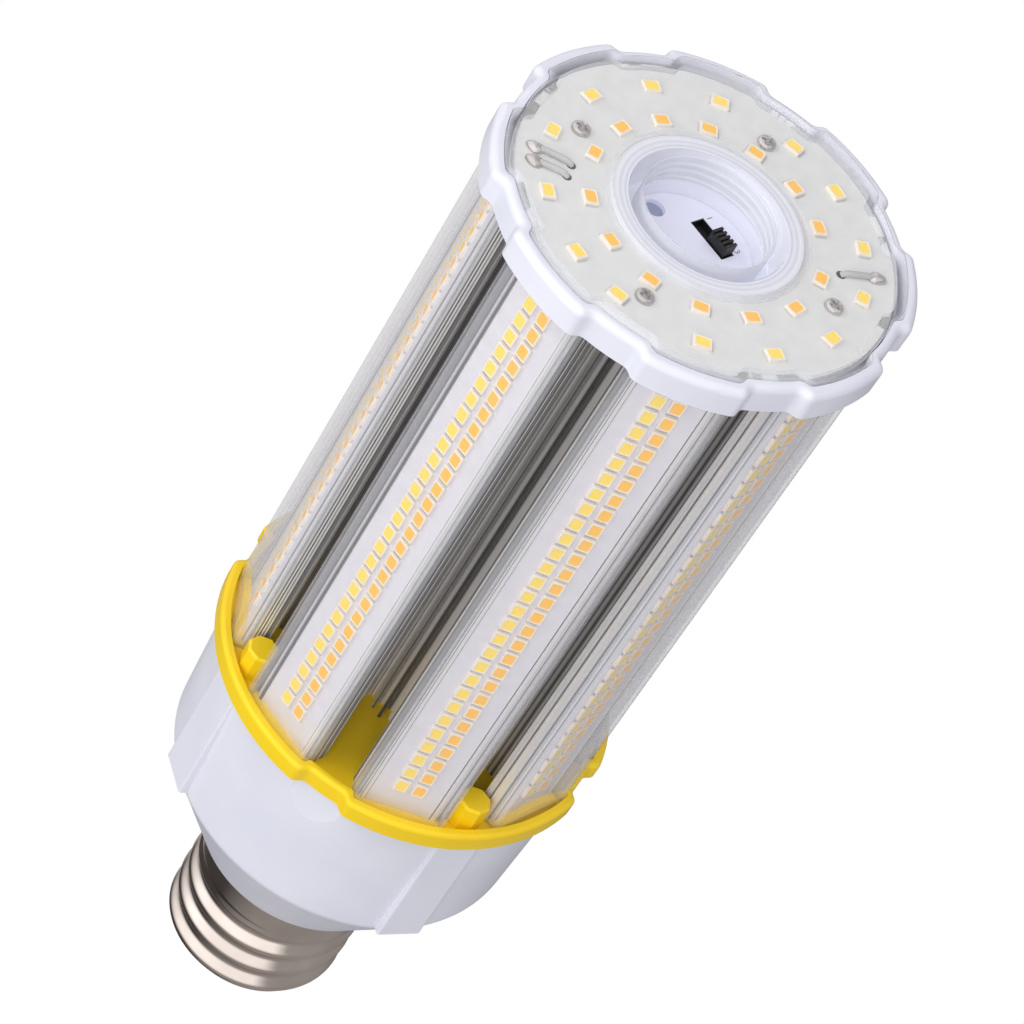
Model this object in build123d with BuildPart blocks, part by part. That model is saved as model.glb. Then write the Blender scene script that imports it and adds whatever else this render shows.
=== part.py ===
from build123d import *
import os
from math import cos, hypot, radians, sin, tan

# LED corn lamp that replaces a mogul-base discharge bulb, drawn in millimetres.
# +Z runs along the axis from the screw base to the head; Z = 0 is the rim that the screw shell seats on.

# Strips
strip_count = 8
strip_step = 360 / strip_count
led_face_d = 37.0
led_height = 0.7
led_size_a = 2.8
led_size_b = 3.5
strip_board_thick = 1.0
strip_board_width = 13.6
strip_led_rows = 28
strip_led_pitch = 4.423
strip_led_column = 1.887
strip_first_led_drop = 6.7

# Strip lenses
lens_air = 1.3
lens_front_thick = 1.0
lens_side_thick = 0.9
lens_corner_r = 1.5
lens_barb = 0.35
lens_barb_reach = 0.8
lens_play = 0.05
lens_foot_play = 0.15

# Heat sink
sink_length = 133.8
core_outer_r = 13.0
core_bore_r = 10.5
web_thick = 2.4
pad_inset = 0.15
pad_thick = 3.1
pad_shoulder_rise = 0.3
lens_rail_thick = 1.0
lens_rail_height = 1.2
board_play = 0.2
serration_count = 4
serration_pitch = 0.6
serration_depth = 0.3
fin_reach_r = 16.5
fin_thick = 0.7
side_fin_offset = 2.1
side_fin_drop = 1.2
screw_port_at_r = 22.0
screw_port_wall = 1.55

# Screws
screw_r = 1.4
screw_play = 0.06
screw_head_r = 2.5
screw_head_height = 1.1
screw_head_dome = 0.6
screw_head_play = 0.2
end_screw_inset = 9.8
end_screw_count = 4
end_screw_r = 1.0
end_screw_head_r = 1.9
long_screw_grip = 5.2
sink_screw_length = 11.0
sink_screw_head_height = 1.0

# Head ring, plate, board and lens
ring_height = 6.1
ring_flange_thick = 1.5
ring_flange_bore_r = 33.2
ring_overhang = 2.01
ring_wall = 2.3
ring_recess_depth = 2.0
ring_recess_half_width = 6.1
ring_edge_r = 1.5
end_lens_recess_depth = 1.6
end_lens_recess_half_width = 6.9
end_lens_wall = 2.2
end_lens_play = 0.2
end_lens_air = 0.15
end_lens_thick = 1.2
end_lens_edge_r = 1.4
recess_ramp = 45.0
recess_corner_r = 1.8
plate_thick = 2.5
plate_ring_play = 0.3
plate_play = 0.2
end_board_inset = 0.5
end_board_thick = 1.0
end_cool_led_inset = 5.8
end_warm_led_inset = 14.24
end_cool_led_angles = (12, 35.5, 60.5, 82, 111, 136.5, 162.5, 189, 218, 243.5, 263, 294, 320, 346)
end_warm_led_angles = (10.5, 43, 67, 91, 115, 139, 163, 188.5, 217.5, 242.5, 267.5, 292.5, 317.5, 343.5)
lead_r = 0.55
lead_runs = (
    ((25.3, 8.9), (31.0, 13.8)),
    ((-24.8, -9.7), (-31.7, -11.5)),
    ((-24.1, -12.9), (-30.2, -14.7)),
)

# Selector cup and slide switch
sleeve_bore_r = 13.2
sleeve_wall = 2.5
sleeve_foot_bore_step = 0.4
sleeve_foot_bore_height = 3.3
sleeve_lip_r = 0.7
sleeve_play = 0.2
skirt_play = 0.2
skirt_wall = 1.1
cup_wall = 1.3
cup_flange_reach = 1.65
cup_flange_thick = 1.15
cup_depth = 8.65
cup_floor_thick = 1.5
cup_floor_recess = 0.35
cup_play = 0.3
dimple_r = 2.1
dimple_depth = 1.0
dimple_at = (-9.2, 3.3)
switch_at = (2.5, 5.5)
switch_angle = -23.0
switch_travel = 4.0
knob_length = 4.6
knob_width = 2.6
knob_rise = 2.6
knob_groove_count = 4
knob_groove_pitch = 1.0
knob_groove_width = 0.45
knob_groove_depth = 0.5
knob_play = 0.15
switch_frame = 0.25
switch_frame_inset = 0.1
knob_lift = 0.15
switch_body_length = 11.4
switch_body_width = 5.6
switch_body_height = 5.5
harness_r = 2.0

# Collar between the heat sink and the driver housing
collar_floor_thick = 1.7
collar_rim_height = 2.5
collar_lobe_wall = 1.96
collar_recess_depth = 2.0
collar_recess_half_width = 5.2
collar_rim_thick = 1.6
collar_notch_corner_r = 0.9
collar_rim_edge_r = 1.0
collar_bore_r = 9.0
boss_count = 4
boss_at_r = 36.0
boss_across = 6.5
boss_height = 6.8
boss_edge_r = 0.5

# Driver housing
housing_height = 58.8
housing_wall = 2.2
collar_overhang = 0.7
housing_draft = 1.3
bowl_corner_z = 23.6
bowl_corner_r = 3.0
neck_ledge = 4.3
neck_spigot_wall = 2.05
neck_spigot_length = 8.0
channel_width = 9.8
channel_front_wall = 1.1
channel_back_wall = 1.9
channel_foot_z = 24.0
channel_edge_r = 0.6
screw_seat_depth = 12.8
relief_width = 11.0
relief_depth = 0.9
relief_fade = 16.0
shelf_land = 2.0
shelf_thick = 2.0

# Driver
driver_board_z = 46.0
driver_board_play = 0.4
driver_board_thick = 1.6
transformer_size = (20.0, 18.0)
transformer_core_height = 12.0
transformer_bobbin_height = 16.0
transformer_bobbin_width = 13.0
transformer_x = -15.0
capacitor_r = 6.0
capacitor_height = 22.0
capacitor_at = (14.0, 12.0)
capacitor_edge_r = 0.8
choke_ring_r = 5.5
choke_wire_r = 2.4
choke_x = -2.0
choke_edge_land = 2.1
rectifier_size = (14.0, 4.0, 10.0)
rectifier_at = (2.0, 20.0)

# Screw shell, insulator and centre contact of the mogul base
thread_crest_r = 19.6
thread_depth = 1.75
thread_pitch = 6.35
thread_turns = 3
thread_crest_width = 1.9
thread_foot_width = 5.2
shell_collar_length = 12.6
shell_wall = 0.5
shell_taper = 2.5
shell_foot_land = 0.35
shell_lip_width = 2.35
spigot_play = 0.05
insulator_plug_height = 5.0
insulator_tip_r = 9.6
insulator_cone_height = 7.5
contact_inset = 1.6
contact_height = 3.5
contact_edge_r = 1.2
contact_stem_r = 2.2
base_lead_r = 0.9
base_lead_play = 0.2

# Levels worked out from the sizes above
collar_z = housing_height
floor_z = collar_z + collar_floor_thick
sink_top_z = floor_z + sink_length
plate_step_z = sink_top_z + ring_flange_thick
plate_top_z = plate_step_z + plate_thick
board_top_z = plate_top_z + end_board_thick
end_lens_ceiling_z = board_top_z + max(screw_head_height, 2 * lead_r) + end_lens_air
end_lens_top_z = end_lens_ceiling_z + end_lens_thick
cup_rim_z = board_top_z + cup_flange_thick
cup_floor_z = cup_rim_z - cup_depth
cup_under_z = cup_floor_z - cup_floor_thick
sleeve_foot_z = cup_floor_z - cup_floor_recess + sleeve_play
switch_under_z = cup_under_z - switch_body_height
driver_board_top_z = driver_board_z + driver_board_thick
screw_seat_z = housing_height - screw_seat_depth
thread_top_z = -shell_collar_length - shell_taper
shell_foot_z = thread_top_z - thread_pitch * thread_turns - shell_foot_land
insulator_tip_z = shell_foot_z - insulator_cone_height
insulator_top_z = shell_foot_z + shell_wall + insulator_plug_height

# Distances and radii worked out from the sizes above
strip_board_face_d = led_face_d - led_height
pad_face_d = strip_board_face_d - strip_board_thick
pad_under_d = pad_face_d - pad_thick
pad_shoulder_d = pad_face_d + pad_shoulder_rise
lens_front_d = led_face_d + lens_air + lens_front_thick
lens_rail_inner = strip_board_width / 2 + board_play
lens_rail_outer = lens_rail_inner + lens_rail_thick
lens_inner_half = lens_rail_outer + lens_play + lens_barb_reach
lens_width = 2 * (lens_inner_half + lens_side_thick)
lens_corner_reach = hypot(lens_front_d - lens_corner_r, lens_width / 2 - lens_corner_r) + lens_corner_r
pad_width = lens_width - 2 * pad_inset
screw_hole_r = screw_r + screw_play
screw_head_hole_r = screw_head_r + screw_head_play
screw_port_wall_r = screw_hole_r + screw_port_wall
ring_lobe_r = lens_corner_reach + ring_overhang
ring_recess_r = ring_lobe_r - ring_recess_depth
end_lens_lobe_r = ring_lobe_r - ring_wall - end_lens_play
end_lens_recess_r = end_lens_lobe_r - end_lens_recess_depth
plate_r = end_lens_recess_r + end_lens_play - plate_ring_play
end_board_r = plate_r - end_board_inset
end_cool_led_r = end_board_r - end_cool_led_inset
end_warm_led_r = end_board_r - end_warm_led_inset
end_screw_at_r = end_board_r - end_screw_inset
slot_length = knob_length + switch_travel + 2 * knob_play
slot_width = knob_width + 2 * knob_play
sleeve_r = sleeve_bore_r + sleeve_wall
sleeve_foot_bore_r = sleeve_bore_r - sleeve_foot_bore_step
cup_bore_r = sleeve_r + sleeve_play
cup_tube_r = cup_bore_r + cup_wall
cup_hole_r = cup_tube_r + cup_play
cup_flange_r = cup_tube_r + cup_flange_reach
skirt_bore_r = cup_flange_r + skirt_play
skirt_r = skirt_bore_r + skirt_wall
collar_inner_r = lens_corner_reach + lens_foot_play
collar_lobe_r = collar_inner_r + collar_lobe_wall
collar_recess_r = collar_lobe_r - collar_recess_depth
collar_notch_mid_r = (collar_inner_r + collar_recess_r - collar_rim_thick) / 2
collar_notch_apex_r = (lens_width / 2 + lens_foot_play) / sin(radians(strip_step / 2))
collar_notch_half_width = (collar_notch_mid_r - collar_notch_apex_r) * tan(radians(strip_step / 2))
housing_rim_r = collar_recess_r - collar_overhang
bowl_r = housing_rim_r - housing_draft
channel_face_r = boss_at_r + screw_head_hole_r + channel_front_wall
channel_inner_r = boss_at_r - screw_head_hole_r - channel_back_wall
driver_board_r = channel_inner_r - driver_board_play
shelf_inner_r = driver_board_r - shelf_land
choke_y = choke_edge_land + choke_wire_r + choke_ring_r - driver_board_r
spigot_r = thread_crest_r - shell_wall - spigot_play
neck_r = thread_crest_r + neck_ledge
neck_bore_r = spigot_r - neck_spigot_wall
thread_root_r = thread_crest_r - thread_depth
shell_bore_r = thread_root_r - shell_wall
shell_lip_r = shell_bore_r - shell_lip_width
contact_r = insulator_tip_r - contact_inset

strip_angles = [strip_step * (k + 0.5) for k in range(strip_count)]
boss_start_angle = strip_step


def strip_plane(angle, distance, z):
    """A plane on a strip's face: x across the strip, y up the lamp, z outward."""
    outward = Vector(cos(radians(angle)), sin(radians(angle)), 0)
    across = Vector(-sin(radians(angle)), cos(radians(angle)), 0)
    return Plane(origin=outward * distance + Vector(0, 0, z), x_dir=across, z_dir=outward)


def section_plane(angle, z):
    """A level plane at height z: x outward through a strip, y across it."""
    return Plane(origin=(0, 0, z), x_dir=(cos(radians(angle)), sin(radians(angle)), 0), z_dir=(0, 0, 1))


def radial_plane(angle):
    """An upright plane through the axis: x outward, y up the lamp."""
    outward = (cos(radians(angle)), sin(radians(angle)), 0)
    return Plane(origin=(0, 0, 0), x_dir=outward, z_dir=(sin(radians(angle)), -cos(radians(angle)), 0))


def lobed_outline(lobe_r, recess_r, half_width, recess_count, ramp=recess_ramp, corner_r=recess_corner_r):
    """A disc whose rim dips at evenly spaced recesses, each cut by a wedge with sides at the ramp angle."""
    apex_r = (lobe_r + recess_r) / 2 - half_width / tan(radians(ramp))
    half = (2 * lobe_r - apex_r) * tan(radians(ramp))
    with BuildSketch(mode=Mode.PRIVATE) as outline:
        Circle(lobe_r)
        with PolarLocations(0, recess_count):
            Polygon((apex_r, 0), (2 * lobe_r, -half), (2 * lobe_r, half), align=None, mode=Mode.SUBTRACT)
        Circle(recess_r)
        fillet(outline.vertices(), corner_r)
    return outline.sketch


def keep(piece, name):
    """Name a finished piece and write it as its own file."""
    piece.part.label = name
    export_step(piece.part, f"parts/{name}.step")


# Heat sink: one star-shaped extrusion of core tube, webs and T-shaped strip pads
with BuildPart() as heat_sink:
    with BuildSketch(Plane.XY.offset(floor_z)):
        Circle(core_outer_r)
        with PolarLocations(0, strip_count, start_angle=strip_step / 2):
            with Locations(((core_bore_r + pad_face_d) / 2, 0)):
                Rectangle(pad_face_d - core_bore_r, web_thick)
            with Locations((screw_port_at_r, 0)):
                Circle(screw_port_wall_r)
            with Locations(((pad_under_d + pad_face_d) / 2, 0)):
                Rectangle(pad_face_d - pad_under_d, pad_width)
            for side in (-1, 1):
                rail_s = side * (lens_rail_inner + lens_rail_outer) / 2
                shoulder_s = side * (lens_rail_outer + pad_width / 2) / 2
                with Locations((pad_face_d + lens_rail_height / 2, rail_s)):
                    Rectangle(lens_rail_height, lens_rail_thick)
                with Locations((pad_face_d + pad_shoulder_rise / 2, shoulder_s)):
                    Rectangle(pad_shoulder_rise, pad_width / 2 - lens_rail_outer)
                for row in range(serration_count):
                    groove_d = pad_under_d + serration_pitch * (row + 0.75)
                    with Locations((groove_d, side * pad_width / 2)):
                        Rectangle(serration_pitch / 2, 2 * serration_depth, mode=Mode.SUBTRACT)
        with PolarLocations(0, strip_count):
            with Locations(((core_bore_r + fin_reach_r) / 2, 0)):
                Rectangle(fin_reach_r - core_bore_r, fin_thick)
            for side in (-1, 1):
                with Locations(((core_bore_r + fin_reach_r - side_fin_drop) / 2, side * side_fin_offset)):
                    Rectangle(fin_reach_r - side_fin_drop - core_bore_r, fin_thick)
        Circle(core_bore_r, mode=Mode.SUBTRACT)
        with PolarLocations(screw_port_at_r, strip_count, start_angle=strip_step / 2):
            Circle(screw_hole_r, mode=Mode.SUBTRACT)
    extrude(amount=sink_length)
    with BuildSketch(Plane.XY.offset(sink_top_z)):
        Circle(cup_hole_r)
    extrude(amount=switch_under_z - sink_top_z, mode=Mode.SUBTRACT)
keep(heat_sink, "heat_sink")

# Strip boards, their LEDs and the lenses that snap over them, one set for each strip
strip_led_z = sink_top_z - strip_first_led_drop - strip_led_pitch * (strip_led_rows - 1) / 2
for number, angle in enumerate(strip_angles, 1):
    with BuildPart() as led_board:
        with BuildSketch(strip_plane(angle, pad_face_d, floor_z + sink_length / 2)):
            Rectangle(strip_board_width, sink_length)
        extrude(amount=strip_board_thick)
    keep(led_board, f"led_board_{number}")

    for name, side in (("cool_leds", -1), ("warm_leds", 1)):
        with BuildPart() as leds:
            with BuildSketch(strip_plane(angle, strip_board_face_d, strip_led_z)):
                with Locations((side * strip_led_column, 0)):
                    with GridLocations(0, strip_led_pitch, 1, strip_led_rows):
                        Rectangle(led_size_a, led_size_b)
            extrude(amount=led_height)
        keep(leds, f"{name}_{number}")

    with BuildPart() as strip_lens:
        lens_height_d = lens_front_d - pad_shoulder_d
        with BuildSketch(section_plane(angle, floor_z)) as lens_section:
            with Locations((pad_shoulder_d + lens_height_d / 2, 0)):
                Rectangle(lens_height_d, lens_width)
            fillet(lens_section.vertices().group_by(Axis.X)[-1], lens_corner_r)
            with Locations((pad_shoulder_d + (lens_height_d - lens_front_thick) / 2, 0)):
                Rectangle(lens_height_d - lens_front_thick, 2 * lens_inner_half, mode=Mode.SUBTRACT)
            for side in (-1, 1):
                barb_s = side * (lens_inner_half - lens_barb_reach / 2)
                with Locations((pad_shoulder_d + lens_barb / 2, barb_s)):
                    Rectangle(lens_barb, lens_barb_reach)
        extrude(amount=sink_length)
    keep(strip_lens, f"strip_lens_{number}")

# Head ring: a lobed wall with an inward flange, which the end plate clamps on the heat sink
with BuildPart() as end_ring:
    with BuildSketch(Plane.XY.offset(sink_top_z)):
        add(lobed_outline(ring_lobe_r, ring_recess_r, ring_recess_half_width, strip_count))
    extrude(amount=ring_height)
    fillet(end_ring.faces().sort_by(Axis.Z)[-1].edges(), ring_edge_r)
    with BuildSketch(Plane.XY.offset(plate_step_z)):
        add(lobed_outline(
            end_lens_lobe_r + end_lens_play,
            end_lens_recess_r + end_lens_play,
            end_lens_recess_half_width,
            strip_count,
        ))
    extrude(amount=ring_height, mode=Mode.SUBTRACT)
    with BuildSketch(Plane.XY.offset(sink_top_z)):
        Circle(ring_flange_bore_r)
    extrude(amount=ring_height, mode=Mode.SUBTRACT)
keep(end_ring, "end_ring")

# End plate: the aluminium disc that carries the end board and clamps the ring
with BuildPart() as end_plate:
    with BuildSketch(Plane.XY.offset(sink_top_z)):
        Circle(ring_flange_bore_r - plate_play)
    extrude(amount=ring_flange_thick)
    with BuildSketch(Plane.XY.offset(plate_step_z)):
        Circle(plate_r)
    extrude(amount=plate_thick)
    with BuildSketch(Plane.XY.offset(sink_top_z)):
        Circle(cup_hole_r)
        with PolarLocations(end_screw_at_r, end_screw_count):
            Circle(end_screw_r + screw_play)
        with PolarLocations(screw_port_at_r, end_screw_count, start_angle=strip_step / 2):
            Circle(screw_hole_r)
        for hole, pad in lead_runs:
            with Locations(hole):
                Circle(lead_r + screw_play)
    extrude(amount=ring_flange_thick + plate_thick, mode=Mode.SUBTRACT)
    with BuildSketch(Plane.XY.offset(plate_top_z)):
        with PolarLocations(screw_port_at_r, end_screw_count, start_angle=strip_step / 2):
            Circle(screw_head_hole_r)
    extrude(amount=-sink_screw_head_height, mode=Mode.SUBTRACT)
keep(end_plate, "end_plate")

# End board with its two rings of LEDs
with BuildPart() as end_board:
    with BuildSketch(Plane.XY.offset(plate_top_z)):
        Circle(end_board_r)
        Circle(cup_hole_r, mode=Mode.SUBTRACT)
        with PolarLocations(end_screw_at_r, end_screw_count):
            Circle(end_screw_r + screw_play, mode=Mode.SUBTRACT)
        for hole, pad in lead_runs:
            with Locations(hole):
                Circle(lead_r + screw_play, mode=Mode.SUBTRACT)
    extrude(amount=end_board_thick)
keep(end_board, "end_board")

end_led_rings = (
    ("end_cool_leds", end_cool_led_r, end_cool_led_angles),
    ("end_warm_leds", end_warm_led_r, end_warm_led_angles),
)
for name, ring_r, led_angles in end_led_rings:
    with BuildPart() as end_leds:
        for angle in led_angles:
            with BuildSketch(section_plane(angle, board_top_z)):
                with Locations((ring_r, 0)):
                    Rectangle(led_size_a, led_size_b)
        extrude(amount=led_height)
    keep(end_leds, name)

# Short leads that come up through the end board and lie on it as far as their solder pads
with BuildPart() as end_leads:
    for hole, pad in lead_runs:
        run = Vector(*pad) - Vector(*hole)
        with BuildSketch(Plane(origin=(*hole, board_top_z + lead_r), z_dir=run)):
            Circle(lead_r)
        extrude(amount=run.length)
keep(end_leads, "end_leads")

# End lens: the clear cover of the end board, with skirts that stand on the ring's flange
with BuildPart() as end_lens:
    with BuildSketch(Plane.XY.offset(plate_step_z)):
        add(lobed_outline(end_lens_lobe_r, end_lens_recess_r, end_lens_recess_half_width, strip_count))
    extrude(amount=end_lens_top_z - plate_step_z)
    fillet(end_lens.faces().sort_by(Axis.Z)[-1].edges(), end_lens_edge_r)
    with BuildSketch(Plane.XY.offset(plate_step_z)):
        add(lobed_outline(
            end_lens_lobe_r - end_lens_wall,
            end_lens_recess_r - end_lens_wall,
            end_lens_recess_half_width,
            strip_count,
        ))
    extrude(amount=end_lens_ceiling_z - plate_step_z, mode=Mode.SUBTRACT)
    with BuildSketch(Plane.XY.offset(plate_step_z)):
        Circle(plate_r + plate_play)
    extrude(amount=board_top_z - plate_step_z, mode=Mode.SUBTRACT)
    with BuildSketch(Plane.XY.offset(end_lens_ceiling_z)):
        Circle(skirt_r)
        Circle(skirt_bore_r, mode=Mode.SUBTRACT)
    extrude(amount=board_top_z + skirt_play - end_lens_ceiling_z)
    with BuildSketch(Plane.XY.offset(end_lens_ceiling_z)):
        Circle(sleeve_r)
    extrude(amount=sleeve_foot_z - end_lens_ceiling_z)
    with BuildSketch(Plane.XZ):
        with BuildLine():
            Polyline(
                (sleeve_bore_r + sleeve_lip_r, end_lens_top_z),
                (0, end_lens_top_z),
                (0, sleeve_foot_z),
                (sleeve_foot_bore_r, sleeve_foot_z),
                (sleeve_foot_bore_r, cup_floor_z + sleeve_foot_bore_height),
                (sleeve_bore_r, cup_floor_z + sleeve_foot_bore_height),
                (sleeve_bore_r, end_lens_top_z - sleeve_lip_r),
            )
            CenterArc((sleeve_bore_r + sleeve_lip_r, end_lens_top_z - sleeve_lip_r), sleeve_lip_r, 90, 90)
        make_face()
    revolve(axis=Axis.Z, mode=Mode.SUBTRACT)
keep(end_lens, "end_lens")

# Pan-head screws: four hold the end board, eight hold the heat sink's ends, four hold the housing
with BuildPart() as end_screws:
    with BuildSketch(Plane.XY.offset(board_top_z)):
        with PolarLocations(end_screw_at_r, end_screw_count):
            Circle(end_screw_head_r)
    extrude(amount=screw_head_height)
    fillet(end_screws.faces().filter_by(Axis.Z).group_by(Axis.Z)[-1].edges(), screw_head_dome)
    with BuildSketch(Plane.XY.offset(board_top_z)):
        with PolarLocations(end_screw_at_r, end_screw_count):
            Circle(end_screw_r)
    extrude(amount=sink_top_z - board_top_z)
keep(end_screws, "end_screws")

sink_screw_ends = (
    ("plate_screws", plate_top_z, -1),
    ("foot_screws", collar_z, 1),
)
for name, head_z, inward in sink_screw_ends:
    with BuildPart() as sink_screws:
        with BuildSketch(Plane.XY.offset(head_z)):
            with PolarLocations(screw_port_at_r, end_screw_count, start_angle=strip_step / 2):
                Circle(screw_head_r)
        extrude(amount=inward * sink_screw_head_height)
        with BuildSketch(Plane.XY.offset(head_z)):
            with PolarLocations(screw_port_at_r, end_screw_count, start_angle=strip_step / 2):
                Circle(screw_r)
        extrude(amount=inward * sink_screw_length)
    keep(sink_screws, name)

# Selector cup: a flanged well in the middle of the head
with BuildPart() as switch_cup:
    with BuildSketch(Plane.XZ):
        with BuildLine():
            Polyline(
                (0, cup_under_z),
                (cup_tube_r, cup_under_z),
                (cup_tube_r, board_top_z),
                (cup_flange_r, board_top_z),
                (cup_flange_r, cup_rim_z),
                (cup_bore_r, cup_rim_z),
                (cup_bore_r, cup_floor_z - cup_floor_recess),
                (sleeve_foot_bore_r - sleeve_play, cup_floor_z - cup_floor_recess),
                (sleeve_foot_bore_r - sleeve_play, cup_floor_z),
                (0, cup_floor_z),
                close=True,
            )
        make_face()
    revolve(axis=Axis.Z)
    with BuildSketch(Plane.XY.offset(cup_floor_z)):
        with Locations(dimple_at):
            Circle(dimple_r)
    extrude(amount=-dimple_depth, mode=Mode.SUBTRACT)
    with BuildSketch(Plane.XY.offset(cup_floor_z)):
        with Locations(Location((*switch_at, 0), (0, 0, switch_angle))):
            Rectangle(slot_length + 2 * switch_frame, slot_width + 2 * switch_frame)
    extrude(amount=-cup_floor_thick, mode=Mode.SUBTRACT)
keep(switch_cup, "switch_cup")

# Slide switch: its body hangs under the cup's floor, and the ridged knob stands at one end of its slot
switch_place = Plane(origin=(*switch_at, cup_under_z), x_dir=Vector(1, 0, 0).rotate(Axis.Z, switch_angle))
with BuildPart() as switch_body:
    with BuildSketch(switch_place):
        Rectangle(switch_body_length, switch_body_width)
    extrude(amount=-switch_body_height)
    with BuildSketch(switch_place):
        Rectangle(slot_length + 2 * switch_frame, slot_width + 2 * switch_frame)
        Rectangle(slot_length, slot_width, mode=Mode.SUBTRACT)
    extrude(amount=cup_floor_thick - switch_frame_inset)
keep(switch_body, "switch_body")

with BuildPart() as switch_knob:
    knob_top = cup_floor_thick + knob_rise
    with BuildSketch(switch_place.offset(knob_lift)):
        with Locations((switch_travel / 2, 0)):
            Rectangle(knob_length, knob_width)
    extrude(amount=knob_top - knob_lift)
    with BuildSketch(switch_place.offset(knob_top)):
        with Locations((switch_travel / 2, 0)):
            with GridLocations(knob_groove_pitch, 0, knob_groove_count, 1):
                Rectangle(knob_groove_width, knob_width)
    extrude(amount=-knob_groove_depth, mode=Mode.SUBTRACT)
keep(switch_knob, "switch_knob")

with BuildPart() as switch_harness:
    with BuildSketch(Plane.XY.offset(driver_board_top_z)):
        with Locations(switch_at):
            Circle(harness_r)
    extrude(amount=switch_under_z - driver_board_top_z)
keep(switch_harness, "switch_harness")

# Collar: a lobed tray with a raised rim and four octagonal screw bosses
with BuildPart() as collar:
    with BuildSketch(Plane.XY.offset(collar_z)):
        add(lobed_outline(collar_lobe_r, collar_recess_r, collar_recess_half_width, boss_count))
    extrude(amount=collar_floor_thick + collar_rim_height)
    fillet(collar.faces().sort_by(Axis.Z)[-1].edges(), collar_rim_edge_r)
    with BuildSketch(Plane.XY.offset(floor_z)):
        add(lobed_outline(
            collar_inner_r,
            collar_recess_r - collar_rim_thick,
            collar_notch_half_width,
            boss_count,
            ramp=strip_step / 2,
            corner_r=collar_notch_corner_r,
        ))
    extrude(amount=collar_rim_height, mode=Mode.SUBTRACT)
    with BuildSketch(Plane.XY.offset(floor_z)):
        with PolarLocations(boss_at_r, boss_count, start_angle=boss_start_angle):
            RegularPolygon(boss_across / 2, 8, major_radius=False)
    extrude(amount=boss_height)
    boss_tops = collar.faces().filter_by(Axis.Z).group_by(Axis.Z)[-1]
    chamfer(boss_tops.edges(), boss_edge_r)
    with BuildSketch(Plane.XY.offset(collar_z)):
        with PolarLocations(boss_at_r, boss_count, start_angle=boss_start_angle):
            Circle(screw_hole_r)
    extrude(amount=collar_floor_thick + boss_height - boss_edge_r - screw_r, mode=Mode.SUBTRACT)
    with BuildSketch(Plane.XY.offset(collar_z)):
        Circle(collar_bore_r)
        with PolarLocations(screw_port_at_r, end_screw_count, start_angle=strip_step / 2):
            Circle(screw_hole_r)
    extrude(amount=collar_floor_thick, mode=Mode.SUBTRACT)
    with BuildSketch(Plane.XY.offset(collar_z)):
        with PolarLocations(screw_port_at_r, end_screw_count, start_angle=strip_step / 2):
            Circle(screw_head_hole_r)
    extrude(amount=sink_screw_head_height, mode=Mode.SUBTRACT)
keep(collar, "collar")


def channel_sketch(z):
    """The level section of the four screw channels at height z."""
    with BuildSketch(Plane.XY.offset(z), mode=Mode.PRIVATE) as channels:
        with PolarLocations((channel_inner_r + channel_face_r) / 2, boss_count, start_angle=boss_start_angle):
            RectangleRounded(channel_face_r - channel_inner_r, channel_width, channel_edge_r)
    return channels.sketch


# Space inside the driver housing: the bowl's inside and the bore of its neck, less the screw channels
with BuildPart() as housing_cavity:
    with BuildSketch(Plane.XZ):
        with BuildLine():
            inside = FilletPolyline(
                (neck_r - housing_wall, housing_wall),
                (bowl_r - housing_wall, bowl_corner_z),
                (housing_rim_r - housing_wall, housing_height),
                radius=bowl_corner_r,
            )
            Polyline(
                inside @ 1,
                (0, housing_height),
                (0, -neck_spigot_length),
                (neck_bore_r, -neck_spigot_length),
                (neck_bore_r, housing_wall),
                inside @ 0,
            )
        make_face()
    revolve(axis=Axis.Z)
    extrude(channel_sketch(0), amount=housing_height, mode=Mode.SUBTRACT)

# Driver housing: a bowl with a neck spigot, four screw channels and shelves for the driver board
with BuildPart() as driver_housing:
    with BuildSketch(Plane.XZ):
        with BuildLine():
            outside = FilletPolyline(
                (neck_r, 0),
                (bowl_r, bowl_corner_z),
                (housing_rim_r, housing_height),
                radius=bowl_corner_r,
            )
            Polyline(
                outside @ 1,
                (0, housing_height),
                (0, -neck_spigot_length),
                (spigot_r, -neck_spigot_length),
                (spigot_r, 0),
                outside @ 0,
            )
        make_face()
    revolve(axis=Axis.Z)
    extrude(channel_sketch(channel_foot_z), amount=housing_height - channel_foot_z)
    add(housing_cavity.part, mode=Mode.SUBTRACT)
    with BuildSketch(Plane.XY.offset(driver_board_z)):
        with PolarLocations((shelf_inner_r + bowl_r - housing_wall / 2) / 2, boss_count):
            Rectangle(bowl_r - housing_wall / 2 - shelf_inner_r, shelf_thick)
    extrude(amount=bowl_corner_z - driver_board_z)
    with BuildSketch(Plane.XY):
        with PolarLocations(boss_at_r, boss_count, start_angle=boss_start_angle):
            Circle(screw_head_hole_r)
    extrude(amount=screw_seat_z, mode=Mode.SUBTRACT)
    with BuildSketch(Plane.XY.offset(channel_foot_z)):
        with PolarLocations(boss_at_r, boss_count, start_angle=boss_start_angle):
            Circle(screw_hole_r)
    extrude(amount=housing_height - channel_foot_z, mode=Mode.SUBTRACT)
    for turn in range(boss_count):
        with BuildSketch(radial_plane(360 / boss_count * turn)):
            Polygon(
                (housing_rim_r - relief_depth, housing_height),
                (housing_rim_r + relief_depth, housing_height),
                (housing_rim_r + relief_depth, housing_height - relief_fade),
                (housing_rim_r, housing_height - relief_fade),
                align=None,
            )
        extrude(amount=relief_width / 2, both=True, mode=Mode.SUBTRACT)
keep(driver_housing, "driver_housing")

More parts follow.
